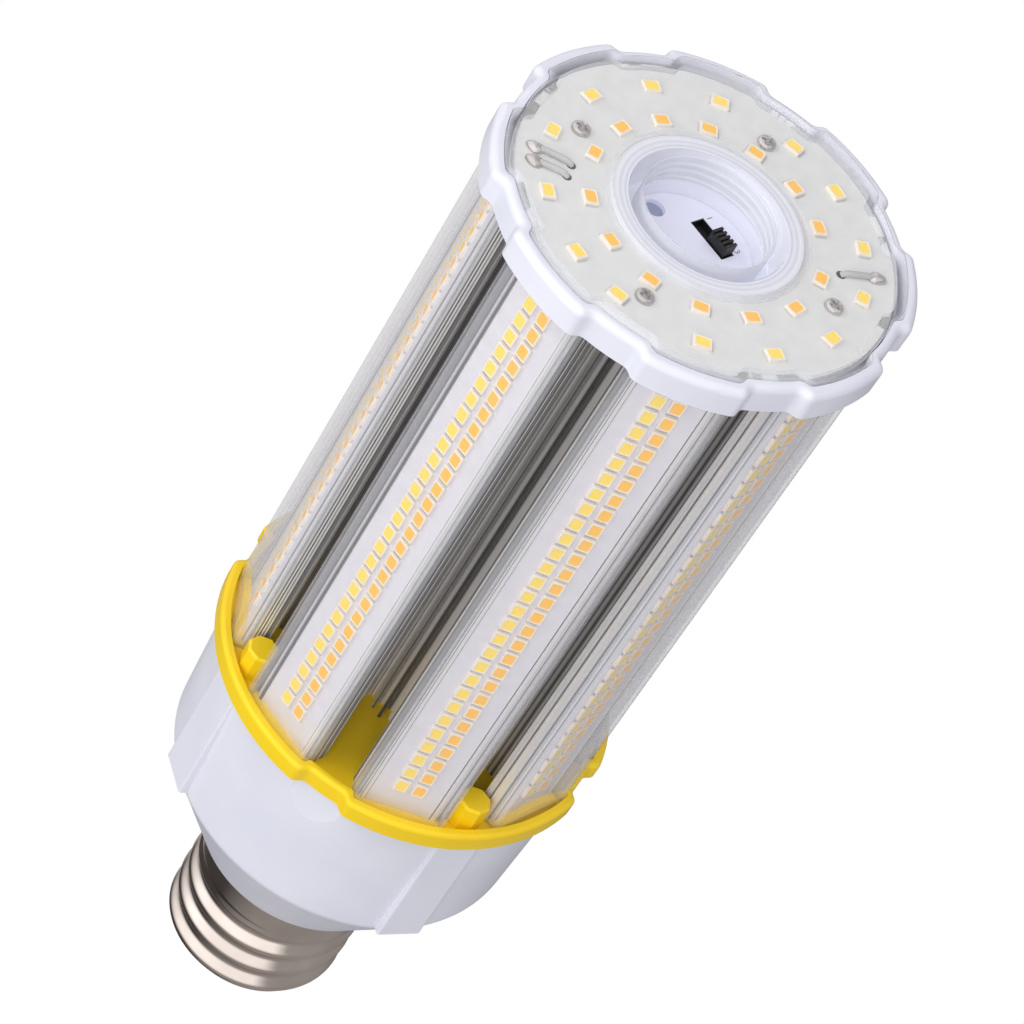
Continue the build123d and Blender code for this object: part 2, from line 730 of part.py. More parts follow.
with BuildPart() as housing_screws:
    with BuildSketch(Plane.XY.offset(screw_seat_z)):
        with PolarLocations(boss_at_r, boss_count, start_angle=boss_start_angle):
            Circle(screw_head_r)
    extrude(amount=-sink_screw_head_height)
    with BuildSketch(Plane.XY.offset(screw_seat_z)):
        with PolarLocations(boss_at_r, boss_count, start_angle=boss_start_angle):
            Circle(screw_r)
    extrude(amount=screw_seat_depth + long_screw_grip)
keep(housing_screws, "housing_screws")

# Driver: a round board with its large components hanging below it
with BuildPart() as driver_board:
    with BuildSketch(Plane.XY.offset(driver_board_z)):
        Circle(driver_board_r)
    extrude(amount=driver_board_thick)
keep(driver_board, "driver_board")

with BuildPart() as transformer:
    core_length, core_width = transformer_size
    core_inset = (transformer_bobbin_height - transformer_core_height) / 2
    with BuildSketch(Plane.XY.offset(driver_board_z)):
        with Locations((transformer_x, 0)):
            Rectangle(core_length, transformer_bobbin_width)
    extrude(amount=-transformer_bobbin_height)
    with BuildSketch(Plane.XY.offset(driver_board_z - core_inset)):
        with Locations((transformer_x, 0)):
            Rectangle(core_length - 2 * core_inset, core_width)
    extrude(amount=-transformer_core_height)
keep(transformer, "transformer")

with BuildPart() as capacitors:
    with BuildSketch(Plane.XY.offset(driver_board_z)):
        with GridLocations(0, 2 * capacitor_at[1], 1, 2):
            with Locations((capacitor_at[0], 0)):
                Circle(capacitor_r)
    extrude(amount=-capacitor_height)
    fillet(capacitors.faces().group_by(Axis.Z)[0].edges(), capacitor_edge_r)
keep(capacitors, "capacitors")

with BuildPart() as choke:
    with Locations((choke_x, choke_y, driver_board_z - choke_wire_r)):
        Torus(choke_ring_r, choke_wire_r)
keep(choke, "choke")

with BuildPart() as rectifier:
    with BuildSketch(Plane.XY.offset(driver_board_z)):
        with Locations(rectifier_at):
            Rectangle(rectifier_size[0], rectifier_size[1])
    extrude(amount=-rectifier_size[2])
keep(rectifier, "rectifier")


def shell_line(inset):
    """The shell's section from its rim down to its foot, drawn this far inside its outer face."""
    crest_r = thread_crest_r - inset
    root_r = thread_root_r - inset
    points = [(crest_r, 0), (crest_r, -shell_collar_length), (root_r, thread_top_z)]
    for turn in range(thread_turns):
        ridge_z = thread_top_z - thread_pitch * (turn + 0.5)
        points.append((root_r, ridge_z + thread_foot_width / 2))
        points.append((crest_r, ridge_z + thread_crest_width / 2))
        points.append((crest_r, ridge_z - thread_crest_width / 2))
        points.append((root_r, ridge_z - thread_foot_width / 2))
    return points


# Screw shell: a rolled sheet cap, with the turns of its thread drawn as level ridges
with BuildPart() as screw_shell:
    shell_floor_z = shell_foot_z + shell_wall
    with BuildSketch(Plane.XZ):
        with BuildLine():
            Polyline(
                *shell_line(0),
                (thread_root_r, shell_foot_z),
                (shell_lip_r, shell_foot_z),
                (shell_lip_r, shell_floor_z),
                (shell_bore_r, shell_floor_z),
                *reversed(shell_line(shell_wall)),
                close=True,
            )
        make_face()
    revolve(axis=Axis.Z)
keep(screw_shell, "screw_shell")

# Insulator and centre contact
with BuildPart() as base_insulator:
    with BuildSketch(Plane.XZ):
        with BuildLine():
            Polyline(
                (contact_stem_r, insulator_tip_z),
                (insulator_tip_r, insulator_tip_z),
                (shell_lip_r, shell_foot_z),
                (shell_lip_r, shell_foot_z + shell_wall),
                (shell_bore_r, shell_foot_z + shell_wall),
                (shell_bore_r, insulator_top_z),
                (contact_stem_r, insulator_top_z),
                close=True,
            )
        make_face()
    revolve(axis=Axis.Z)
keep(base_insulator, "base_insulator")

with BuildPart() as centre_contact:
    with BuildSketch(Plane.XY.offset(insulator_tip_z)):
        Circle(contact_r)
    extrude(amount=-contact_height)
    fillet(centre_contact.edges().group_by(Axis.Z)[0], contact_edge_r)
    with BuildSketch(Plane.XY.offset(insulator_tip_z)):
        Circle(contact_stem_r)
    extrude(amount=insulator_top_z - insulator_tip_z)
keep(centre_contact, "centre_contact")

# Leads from the driver to the centre contact and to the shell
with BuildPart() as base_leads:
    shell_lead_x = neck_bore_r - base_lead_play - base_lead_r
    with BuildSketch(Plane.XY.offset(driver_board_z)):
        Circle(base_lead_r)
    extrude(amount=insulator_top_z - driver_board_z)
    with BuildSketch(Plane.XY.offset(driver_board_z)):
        with Locations((shell_lead_x, 0)):
            Circle(base_lead_r)
    extrude(amount=thread_top_z - driver_board_z)
keep(base_leads, "base_leads")
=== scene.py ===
import math

import bmesh
import bpy
from mathutils import Matrix, Vector


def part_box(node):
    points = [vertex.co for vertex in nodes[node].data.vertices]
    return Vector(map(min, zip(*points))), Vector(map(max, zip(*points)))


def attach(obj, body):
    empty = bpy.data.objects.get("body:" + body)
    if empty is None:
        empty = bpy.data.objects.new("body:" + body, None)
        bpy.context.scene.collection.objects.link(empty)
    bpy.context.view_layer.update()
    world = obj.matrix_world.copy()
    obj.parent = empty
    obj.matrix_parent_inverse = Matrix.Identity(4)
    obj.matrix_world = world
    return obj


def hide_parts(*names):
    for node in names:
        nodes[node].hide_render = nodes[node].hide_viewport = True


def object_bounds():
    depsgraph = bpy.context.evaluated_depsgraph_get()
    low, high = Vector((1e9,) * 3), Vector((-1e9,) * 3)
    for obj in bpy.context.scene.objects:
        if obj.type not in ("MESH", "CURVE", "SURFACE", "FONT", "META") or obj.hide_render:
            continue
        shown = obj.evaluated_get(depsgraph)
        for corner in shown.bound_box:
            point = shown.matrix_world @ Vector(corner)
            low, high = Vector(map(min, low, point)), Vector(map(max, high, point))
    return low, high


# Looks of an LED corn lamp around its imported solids, in metres. +Z runs from the screw base to the head.
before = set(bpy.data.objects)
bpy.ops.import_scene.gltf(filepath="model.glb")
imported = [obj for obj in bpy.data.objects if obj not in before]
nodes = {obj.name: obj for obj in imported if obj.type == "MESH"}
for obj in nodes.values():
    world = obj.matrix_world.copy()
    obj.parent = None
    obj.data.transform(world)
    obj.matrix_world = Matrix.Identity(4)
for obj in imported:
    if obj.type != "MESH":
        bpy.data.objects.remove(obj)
scene = bpy.context.scene
cad_low, cad_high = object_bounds()

MM = 0.001
UP = Vector((0, 0, 1))
STRIP_COUNT = 8
STRIP_ANGLE = math.tau / STRIP_COUNT
SHARP_EDGE = math.radians(35.0)
WELD_DISTANCE = 1e-7
PLACE_DIGITS = 5

# Places of a Mix node's colour sockets, which share their names with others
MIX_FIRST = 6
MIX_SECOND = 7
MIX_RESULT = 2

# Camera at the photograph's angle: where it stands, its right and down directions, its lens and its range
CAMERA_AT = Vector((35.5, -582.9, 670.6)) * MM
CAMERA_RIGHT = Vector((0.814794, 0.426707, 0.392465))
CAMERA_DOWN = Vector((0.578008, -0.545497, -0.606912))
CAMERA_LENS = 146.98
CAMERA_SENSOR = 36.0
CAMERA_CLIP = (0.01, 20.0)

# Levels and sizes read from the frame; the switch's frame stands a little below the cup's floor
SWITCH_FRAME_INSET = 0.1 * MM
board_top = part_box("end_board")[1].z
lens_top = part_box("end_lens")[1].z
shell_low, shell_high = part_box("screw_shell")
cup_floor_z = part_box("switch_body")[1].z + SWITCH_FRAME_INSET

# LED packages
LED_RIM = 0.32 * MM
LED_POCKET = 0.06 * MM
LED_EDGE = 0.10 * MM
LED_CORNER = 0.45 * MM
LED_CORNER_STEPS = 3
SOLDER_LENGTH = 0.42 * MM
SOLDER_OVERLAP = 0.02 * MM
SOLDER_INSET = 0.25 * MM
SOLDER_HEIGHT = 0.16 * MM
SOLDER_TOE_HEIGHT = 0.3 * SOLDER_HEIGHT

# Screw shell
THREAD_PITCH = 6.35 * MM
THREAD_DEPTH = 1.75 * MM
SHELL_COLLAR = 10.0 * MM
SHELL_RUNOUT = 3.0 * MM
SHELL_FOOT = 1.4 * MM
SHELL_WALL = 0.5 * MM
SHELL_LIP_R = 15.0 * MM
SHELL_CURL = 1.2 * MM
CREST_Z = -31.05 * MM
CREST_ANGLE = math.radians(-90.0)
SHELL_COLUMNS = 160
SHELL_LEVELS = 110
CURL_STEPS = 6

# Selector cup and the clear sleeve that stands in it
SLEEVE_BORE_R = 13.2 * MM
SLEEVE_STEP_HEIGHT = 3.3 * MM
CUP_FLANGE_R = 18.85 * MM
DIMPLE_AT = Vector((-9.2, 3.3, 0.0)) * MM
DIMPLE_R = 2.08 * MM
DIMPLE_DEPTH = 0.98 * MM
DIMPLE_SHADE_DISC_THICK = 0.02 * MM
RIDGE_DEPTH = 0.45 * MM
RIDGE_PITCH = 1.75 * MM
RIDGE_TOP = 0.8 * MM
RIDGE_FULLNESS = 0.7
RIDGE_FADE_LOW = 0.6 * MM
RIDGE_FADE_HIGH = 0.9 * MM
RIDGE_SKIN = 0.02 * MM
RIDGE_COLUMNS = 160
RIDGE_LEVELS = 60

# Numerals beside the selector
SWITCH_AT = Vector((2.5, 5.5, 0.0)) * MM
SWITCH_ANGLE = math.radians(-23.0)
NUMERALS = ("1", "2", "3")
NUMERAL_SIZE = 1.9 * MM
NUMERAL_THICK = 0.01 * MM
NUMERAL_PITCH = 4.2 * MM
NUMERAL_BESIDE = 2.3 * MM

# Head screws: the recess's sides and ends slope between two shares of its half width and its reach
HEAD_HEIGHT = 1.1 * MM
HEAD_RIM_SHARE = 0.35
HEAD_CURVE = 3
HEAD_COLUMNS = 64
HEAD_LEVELS = 18
RECESS_HALF_WIDTH = 0.34 * MM
RECESS_SIDES = (0.7 * RECESS_HALF_WIDTH, 1.3 * RECESS_HALF_WIDTH)
RECESS_REACH = 1.15 * MM
RECESS_ENDS = (0.8 * RECESS_REACH, 1.1 * RECESS_REACH)
RECESS_DEPTH = 0.75 * MM
RECESS_TURN = 0.7

# Leads: each run in millimetres from its hole to its pad, and the shares of it where it rises and falls
LEAD_RUNS = (
    ((25.3, 8.9), (31.0, 13.8)),
    ((-24.8, -9.7), (-31.7, -11.5)),
    ((-24.1, -12.9), (-30.2, -14.7)),
)
LEAD_R = 0.6 * MM
LEAD_LIFT = 0.62 * MM
LEAD_RISE = (-0.05, 0.16)
LEAD_DIP = 0.30 * MM
LEAD_FALL = (0.7, 1.0)
LEAD_SINK = 0.15 * MM
LEAD_STEPS = 16
LEAD_COLUMNS = 14
HOLE_SHADE_R = 0.95 * MM
HOLE_SHADE_THICK = 0.03 * MM
DISC_COLUMNS = 32
BLOB_R = 1.5 * MM
BLOB_HEIGHT = 1.1 * MM
BLOB_STRETCH = 1.25
BLOB_LOBES = 3
BLOB_LOBE_SHARE = 0.08
BLOB_LOBE_TURN = 1.0
BLOB_ROWS = 8
BLOB_COLUMNS = 20

# Patterns in the finishes: a noise's used part, stretch, scale per metre and relief, and steps of roughness
NOISE_SPAN = (0.3, 0.7)
BLEND_SPAN = (0.35, 0.65)
DRAWN_STRETCH = (1.0, 1.0, 0.0)
ROLLED_STRETCH = (1.0, 1.0, 4.0)
MOULDED_IOR = 1.49
MOULDED_STEPS = (0.05, 0.07)
FLOW_SCALE = 60.0
SKIN_SCALE = 1400.0
SKIN_GRAIN = 0.004 * MM
FINE_GRAIN = 0.002 * MM
SMOOTH_GRAIN = 0.001 * MM
DIE_LINE_SCALE = 430.0
DIE_GRAIN_SCALE = 1500.0
DIE_GRAIN = 0.004 * MM
METAL_STEPS = (0.06, 0.08)
CLOUD_SCALE = 90.0
MARK_SCALE = 260.0
SOLDER_MARK_SCALE = 900.0
MARK_RELIEF = 0.003 * MM
MASK_ROUGHNESS = 0.42
MASK_STEPS = (0.06, 0.08)
PATCH_SCALE = 320.0
WEAVE_SCALE = 2600.0
WEAVE_RELIEF = 0.004 * MM
PHOSPHOR_ROUGHNESS = 0.28
PHOSPHOR_PAINTED_GLOW = 0.16
PHOSPHOR_SCALE = 2600.0
PHOSPHOR_GRAIN = 0.006 * MM

# Die lines across the extrusion's faces, drawn as painted highlight stripes between edges of painted shade:
# places along the noise and screen colours
DRAWN_PLAIN = (246, 242, 242)
DRAWN_PAINTED_SHADE = (78, 76, 76)
DRAWN_PAINTED_HIGHLIGHT = (252, 250, 248)
DRAWN_ROUGHNESS = 0.38
DRAWN_METALLIC = 0.35
DIE_LINE_AND_PAINTED_LIGHT_STOPS = (
    (0.37, DRAWN_PLAIN),
    (0.43, DRAWN_PAINTED_SHADE),
    (0.48, DRAWN_PAINTED_HIGHLIGHT),
    (0.52, DRAWN_PAINTED_HIGHLIGHT),
    (0.57, DRAWN_PAINTED_SHADE),
    (0.63, DRAWN_PLAIN),
)

# Clear plastic: how squarely its walls and its faces look outward, and the mirrored shares that add haze
CLEAR_IOR = 1.45
CLEAR_COLOUR = (240, 241, 249)
CLEAR_ROUGHNESS = 0.3
CLEAR_GLOSS_ROUGHNESS = 0.06
WALL_SPAN = (0.4, 0.9)
FLAT_SPAN = (0.1, 0.36)
FLAT_HAZE = 0.28

# Selector cup: its colour, a painted glow that lifts the shade inside it, and painted rings of shade and
# reflection from the sleeve's bore out to the flange's edge
CUP_COLOUR = (222, 222, 236)
CUP_ROUGHNESS = 0.4
CUP_PAINTED_GLOW = 0.16
CUP_PAINTED_GLOW_COLOUR = (228, 230, 250)
CUP_PAINTED_RINGS = (
    (0.0, (220, 220, 234)),
    (0.42, (232, 233, 246)),
    (0.5, (228, 229, 238)),
    (0.56, (192, 193, 204)),
    (0.66, (222, 222, 228)),
    (0.76, (200, 200, 208)),
    (0.86, (226, 226, 230)),
    (1.0, (206, 206, 212)),
)

# Studio: even light, and what mirrors show by height and azimuth: panels, a table, and its deep end below
WHITE = (1.0, 1.0, 1.0, 1.0)
AMBIENT_COLOUR = (0.95, 0.955, 1.0, 1.0)
AMBIENT = 0.52
AMBIENT_BELOW = 0.3
AMBIENT_RISE = (-0.9, -0.2)
PANEL_RISE = (-0.3, 0.3)
TABLE_RISE = (-0.96, -0.82)
PANEL_TINT = (1.0, 0.97, 0.955)
TABLE_TINT = (1.0, 0.93, 0.9)
DEEP_TINT = (1.0, 0.92, 0.88)
PANEL_STOPS = (
    (-180, 1.5), (-155, 1.7), (-52, 1.5), (-38, 0.45), (18, 0.4), (90, 0.5), (130, 1.3), (180, 1.5),
)
TABLE_STOPS = (
    (-180, 0.07), (-140, 0.07), (-110, 0.28), (-86, 0.4), (20, 0.4), (45, 0.3), (80, 0.05), (112, 0.05),
    (125, 0.55), (138, 0.55), (150, 0.1), (180, 0.07),
)
DEEP_STOPS = ((-180, 0.03), (-70, 0.03), (-40, 0.36), (70, 0.36), (95, 0.03), (180, 0.03))


# Helpers for shapes
def smooth_step(low, high, value):
    """0 at low, 1 at high, and a soft rise between them."""
    share = min(1.0, max(0.0, (value - low) / (high - low)))
    return share * share * (3 - 2 * share)


def turns(columns):
    """Angles once round, in equal steps."""
    return [math.tau * column / columns for column in range(columns)]


def polar(r, angle, z):
    """The point at a radius, an angle and a height."""
    return Vector((r * math.cos(angle), r * math.sin(angle), z))


def mesh_piece(name, points, faces, materials, indices=None):
    """A mesh object that rides on the lamp; indices gives each face's material."""
    mesh = bpy.data.meshes.new(name)
    mesh.from_pydata([tuple(p) for p in points], [], faces)
    for item in materials:
        mesh.materials.append(item)
    if indices:
        mesh.polygons.foreach_set("material_index", indices)
    mesh.shade_smooth()
    mesh.set_sharp_from_angle(angle=SHARP_EDGE)
    mesh.validate()
    piece = bpy.data.objects.new(name, mesh)
    scene.collection.objects.link(piece)
    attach(piece, "lamp")
    return piece


def ring_faces(rows, columns, closed_rows=False, start=0):
    """Quads of a grid of points whose columns go round, row by row."""
    faces = []
    for row in range(rows if closed_rows else rows - 1):
        upper = start + (row + 1) % rows * columns
        lower = start + row * columns
        for column in range(columns):
            beside = (column + 1) % columns
            faces.append((lower + column, lower + beside, upper + beside, upper + column))
    return faces


def capped_faces(rows, columns, start=0):
    """Quads of rows of points that go round, with a cap on the first row and one on the last."""
    faces = ring_faces(rows, columns, start=start)
    last = start + (rows - 1) * columns
    faces.append(tuple(range(last, last + columns)))
    faces.append(tuple(reversed(range(start, start + columns))))
    return faces


def turned_sheet(rows):
    """Points and faces of a closed sheet round the axis; each row has a radius and a height per column."""
    columns = len(rows[0])
    points = [polar(r, angle, z) for row in rows for angle, (r, z) in zip(turns(columns), row)]
    faces = [tuple(reversed(f)) for f in ring_faces(len(rows), columns, closed_rows=True)]
    return points, faces


def middle_of(points):
    """The mean of some points."""
    return sum(points, Vector()) / len(points)


def islands(node):
    """The corner points of each separate solid of a CAD node, in order of place."""
    copy = bmesh.new()
    copy.from_mesh(nodes[node].data)
    bmesh.ops.remove_doubles(copy, verts=copy.verts, dist=WELD_DISTANCE)
    left = set(copy.verts)
    groups = []
    while left:
        queue = [left.pop()]
        group = []
        while queue:
            vertex = queue.pop()
            group.append(vertex.co.copy())
            for edge in vertex.link_edges:
                other = edge.other_vert(vertex)
                if other in left:
                    left.remove(other)
                    queue.append(other)
        groups.append(group)
    copy.free()
    return sorted(groups, key=lambda g: tuple(round(c, PLACE_DIGITS) for c in middle_of(g)))


# Helpers for shader nodes
def linear(colour):
    """A colour in screen values from 0 to 255, as the linear colour that a shader takes."""
    values = [v / 255 for v in colour]
    return [v / 12.92 if v <= 0.04045 else ((v + 0.055) / 1.055) ** 2.4 for v in values] + [1.0]


def set_inputs(tree, node, inputs):
    """Give a node's inputs plain values, or link them to other nodes' outputs."""
    for key, value in inputs.items():
        if isinstance(value, bpy.types.NodeSocket):
            tree.links.new(value, node.inputs[key])
        else:
            node.inputs[key].default_value = value


def add_node(tree, kind, inputs=None, **settings):
    """The outputs of a new shader node with the given settings and inputs."""
    node = tree.nodes.new("ShaderNode" + kind)
    for key, value in settings.items():
        setattr(node, key, value)
    set_inputs(tree, node, inputs or {})
    return node.outputs


def math_node(tree, operation, *values, clamped=False):
    """The result of arithmetic on values."""
    return add_node(tree, "Math", dict(enumerate(values)), operation=operation, use_clamp=clamped)[0]


def vector_node(tree, operation, *vectors, result="Vector"):
    """The result of arithmetic on vectors."""
    return add_node(tree, "VectorMath", dict(enumerate(vectors)), operation=operation)[result]


def map_range(tree, value, source, target=(0.0, 1.0), interpolation="LINEAR"):
    """A value's source range mapped to a target range, and held at its ends."""
    inputs = {
        "Value": value,
        "From Min": source[0],
        "From Max": source[1],
        "To Min": target[0],
        "To Max": target[1],
    }
    return add_node(tree, "MapRange", inputs, interpolation_type=interpolation)["Result"]


def mix_shaders(tree, share, first, second):
    """The first shader where the share is 0 and the second where it is 1."""
    return add_node(tree, "MixShader", {"Fac": share, 1: first, 2: second})["Shader"]


def mix_colours(tree, share, first, second):
    """The first colour where the share is 0 and the second where it is 1."""
    inputs = {"Factor": share, MIX_FIRST: first, MIX_SECOND: second}
    return add_node(tree, "Mix", inputs, data_type="RGBA")[MIX_RESULT]


def colour_ramp(tree, value, stops):
    """Colours along a pattern's value: each stop is a place from 0 to 1 and a colour."""
    node = tree.nodes.new("ShaderNodeValToRGB")
    elements = node.color_ramp.elements
    while len(elements) < len(stops):
        elements.new(0.5)
    for element, (place, colour) in zip(elements, stops):
        element.position = place
        element.color = colour
    tree.links.new(value, node.inputs["Fac"])
    return node.outputs["Color"]


def noise(tree, scale, detail, stretch=(1.0, 1.0, 1.0)):
    """A noise pattern in the object's own space, with stretch as how much finer it is along each axis."""
    place = add_node(tree, "TexCoord")["Object"]
    mapped = add_node(tree, "Mapping", {"Vector": place, "Scale": stretch})["Vector"]
    return add_node(tree, "TexNoise", {"Vector": mapped, "Scale": scale, "Detail": detail})["Fac"]


# Materials, with colours in screen values
def new_material(name, colour, roughness, metallic=0.0):
    """A material with one Principled shader, its node tree and that shader."""
    item = bpy.data.materials.new(name)
    item.use_nodes = True
    tree = item.node_tree
    shader = tree.nodes["Principled BSDF"]
    set_inputs(tree, shader, {"Base Color": linear(colour), "Roughness": roughness, "Metallic": metallic})
    return item, tree, shader


def colour_by_stops(tree, shader, pattern, stops):
    """A base colour by a pattern's value, from stops in screen colours."""
    tones = colour_ramp(tree, pattern, [(place, linear(colour)) for place, colour in stops])
    tree.links.new(tones, shader.inputs["Base Color"])


def vary_colour(tree, shader, pattern, first, second):
    """A base colour between two, by a pattern's value."""
    colour_by_stops(tree, shader, pattern, tuple(zip(BLEND_SPAN, (first, second))))


def vary_roughness(tree, shader, pattern, middle, steps):
    """A roughness that a pattern moves from a step below its middle value to a step above."""
    lower, higher = steps
    result = map_range(tree, pattern, NOISE_SPAN, (middle - lower, middle + higher))
    tree.links.new(result, shader.inputs["Roughness"])


def relief(tree, shader, height, depth):
    """A bump on the shader from a height pattern, with its depth in metres."""
    bump = add_node(tree, "Bump", {"Distance": depth, "Height": height})["Normal"]
    tree.links.new(bump, shader.inputs["Normal"])


def moulded_plastic(name, colour, shade, roughness, grain=SKIN_GRAIN):
    """Moulded plastic: fine spark-eroded grain and slight flow marks."""
    item, tree, shader = new_material(name, colour, roughness)
    shader.inputs["IOR"].default_value = MOULDED_IOR
    vary_colour(tree, shader, noise(tree, FLOW_SCALE, detail=2), shade, colour)
    skin = noise(tree, SKIN_SCALE, detail=4)
    vary_roughness(tree, shader, skin, roughness, MOULDED_STEPS)
    relief(tree, shader, skin, grain)
    return item


def extruded_aluminium():
    """Drawn aluminium: straight die lines along the axis, painted as bright highlights between dark edges
    of shade, and a satin sheen.
    """
    item, tree, shader = new_material("extruded_aluminium", DRAWN_PLAIN, DRAWN_ROUGHNESS, DRAWN_METALLIC)
    # Painted highlight and shade: bright and dark stripes along the die lines
    colour_by_stops(tree, shader, noise(tree, DIE_LINE_SCALE, detail=1, stretch=DRAWN_STRETCH), DIE_LINE_AND_PAINTED_LIGHT_STOPS)
    relief(tree, shader, noise(tree, DIE_GRAIN_SCALE, detail=2, stretch=DRAWN_STRETCH), DIE_GRAIN)
    return item


def plated_metal(name, colour, shade, roughness, mark_scale=MARK_SCALE):
    """Plated metal: marks round the axis and a slightly cloudy shine."""
    item, tree, shader = new_material(name, colour, roughness, metallic=1.0)
    vary_colour(tree, shader, noise(tree, CLOUD_SCALE, detail=2), shade, colour)
    marks = noise(tree, mark_scale, detail=3, stretch=ROLLED_STRETCH)
    vary_roughness(tree, shader, marks, roughness, METAL_STEPS)
    relief(tree, shader, marks, MARK_RELIEF)
    return item


def solder_mask(name, colour, shade):
    """White solder mask: a faint weave and small uneven patches under a satin lacquer."""
    item, tree, shader = new_material(name, colour, MASK_ROUGHNESS)
    patches = noise(tree, PATCH_SCALE, detail=4)
    vary_colour(tree, shader, patches, shade, colour)
    vary_roughness(tree, shader, patches, MASK_ROUGHNESS, MASK_STEPS)
    relief(tree, shader, noise(tree, WEAVE_SCALE, detail=2), WEAVE_RELIEF)
    return item


def phosphor(name, colour, shade):
    """Phosphor-filled silicone: grainy colour with a faint painted glow, a fixed emission that stands in
    for fluorescence in daylight, under a glossy skin.
    """
    item, tree, shader = new_material(name, colour, PHOSPHOR_ROUGHNESS)
    grains = noise(tree, PHOSPHOR_SCALE, detail=4)
    vary_colour(tree, shader, grains, shade, colour)
    # Painted glow: fixed emission, the same whether the phosphor is lit or not
    set_inputs(tree, shader, {"Emission Color": linear(colour), "Emission Strength": PHOSPHOR_PAINTED_GLOW})
    relief(tree, shader, grains, PHOSPHOR_GRAIN)
    return item


def haze_by_side(tree, face_axes, face_haze, wall_haze):
    """Haze of a moulding: one share on faces that look outward along given axes, another on walls."""
    place = add_node(tree, "NewGeometry")
    outward = vector_node(tree, "NORMALIZE", vector_node(tree, "MULTIPLY", place["Position"], face_axes))
    facing = vector_node(tree, "DOT_PRODUCT", outward, place["Normal"], result="Value")
    return map_range(tree, math_node(tree, "ABSOLUTE", facing), WALL_SPAN, (wall_haze, face_haze))


def clear_plastic(name, face_axes, face_haze, wall_haze):
    """Clear plastic: hazy by side and at flat angles, mirror-like at those, and open to lamps' light."""
    item, tree, cloudy = new_material(name, CLEAR_COLOUR, CLEAR_ROUGHNESS)
    gloss = add_node(tree, "BsdfGlossy", {"Roughness": CLEAR_GLOSS_ROUGHNESS})["BSDF"]
    clear = add_node(tree, "BsdfTransparent")["BSDF"]
    fresnel = add_node(tree, "Fresnel", {"IOR": CLEAR_IOR})["Fac"]
    backfacing = add_node(tree, "NewGeometry")["Backfacing"]
    mirrored = math_node(tree, "SUBTRACT", fresnel, backfacing, clamped=True)
    side_haze = haze_by_side(tree, face_axes, face_haze, wall_haze)
    flat_haze = map_range(tree, mirrored, FLAT_SPAN, (0.0, FLAT_HAZE))
    haze = math_node(tree, "ADD", side_haze, flat_haze, clamped=True)
    inside = mix_shaders(tree, haze, clear, cloudy.outputs["BSDF"])
    surface = mix_shaders(tree, mirrored, inside, gloss)
    rays = add_node(tree, "LightPath")
    lighting = math_node(tree, "MAXIMUM", rays["Is Shadow Ray"], rays["Is Diffuse Ray"])
    passed = mix_shaders(tree, lighting, surface, clear)
    tree.links.new(passed, tree.nodes["Material Output"].inputs["Surface"])
    return item


def cup_plastic_painted_light():
    """White plastic with painted rings of shade and reflection in its flange, by the distance from the
    axis, and a painted glow.
    """
    item, tree, shader = new_material("cup_plastic_painted_light", CUP_COLOUR, CUP_ROUGHNESS)
    place = add_node(tree, "TexCoord")["Object"]
    level = vector_node(tree, "MULTIPLY", place, (1.0, 1.0, 0.0))
    reach = vector_node(tree, "LENGTH", level, result="Value")
    # Painted rings: lighter and darker bands of shade and reflection by the distance from the axis
    colour_by_stops(tree, shader, map_range(tree, reach, (SLEEVE_BORE_R, CUP_FLANGE_R)), CUP_PAINTED_RINGS)
    # Painted glow: a faint emission that lifts the shade inside the cup
    set_inputs(tree, shader, {"Emission Color": linear(CUP_PAINTED_GLOW_COLOUR), "Emission Strength": CUP_PAINTED_GLOW})
    return item


white_plastic = moulded_plastic("white_plastic", (236, 237, 246), (231, 232, 243), 0.38)
yellow_plastic = moulded_plastic("yellow_plastic", (255, 218, 32), (253, 212, 22), 0.36)
black_plastic = moulded_plastic("black_plastic", (26, 25, 25), (20, 20, 20), 0.5)
grey_sleeve = moulded_plastic("lead_sleeve", (196, 196, 194), (172, 172, 170), 0.4)
led_case = moulded_plastic("led_case", (250, 240, 226), (246, 233, 216), 0.4, FINE_GRAIN)
numeral_ink = moulded_plastic("numeral_ink", (108, 106, 104), (96, 94, 92), 0.6, SMOOTH_GRAIN)
laminate = moulded_plastic("driver_laminate", (64, 122, 78), (52, 108, 68), 0.45)
ferrite = moulded_plastic("ferrite", (58, 58, 60), (46, 46, 48), 0.6)
sleeve_film = moulded_plastic("capacitor_sleeve", (38, 46, 62), (30, 38, 54), 0.3)
base_glass = moulded_plastic("base_glass", (34, 34, 38), (24, 24, 28), 0.12, SMOOTH_GRAIN)
# Painted shade for the dimple's floor
dimple_painted_shade = moulded_plastic("dimple_painted_shade", (166, 172, 196), (160, 166, 190), 0.5, SMOOTH_GRAIN)
cup_white = cup_plastic_painted_light()
aluminium = extruded_aluminium()
sheet_aluminium = plated_metal("sheet_aluminium", (222, 222, 224), (206, 206, 208), 0.4)
nickel = plated_metal("nickel_plate", (214, 206, 200), (200, 191, 185), 0.14)
steel = plated_metal("zinc_steel", (206, 203, 200), (184, 181, 178), 0.27)
tin_joint = plated_metal("tin_joint", (228, 226, 224), (208, 206, 204), 0.42)
solder = plated_metal("solder", (222, 220, 218), (186, 180, 176), 0.24, SOLDER_MARK_SCALE)
end_mask = solder_mask("end_solder_mask", (234, 234, 230), (228, 228, 225))
strip_mask = solder_mask("strip_solder_mask", (233, 229, 234), (228, 224, 229))
cool_phosphor = phosphor("cool_phosphor", (255, 222, 78), (254, 212, 58))
warm_phosphor = phosphor("warm_phosphor", (255, 192, 48), (254, 182, 36))
strip_clear = clear_plastic("strip_polycarbonate", (1, 1, 0), face_haze=0.08, wall_haze=0.26)
end_clear = clear_plastic("end_polycarbonate", (0, 0, 1), face_haze=0.06, wall_haze=0.4)
ridge_clear = clear_plastic("ridged_polycarbonate", (0, 0, 1), face_haze=0.3, wall_haze=0.3)

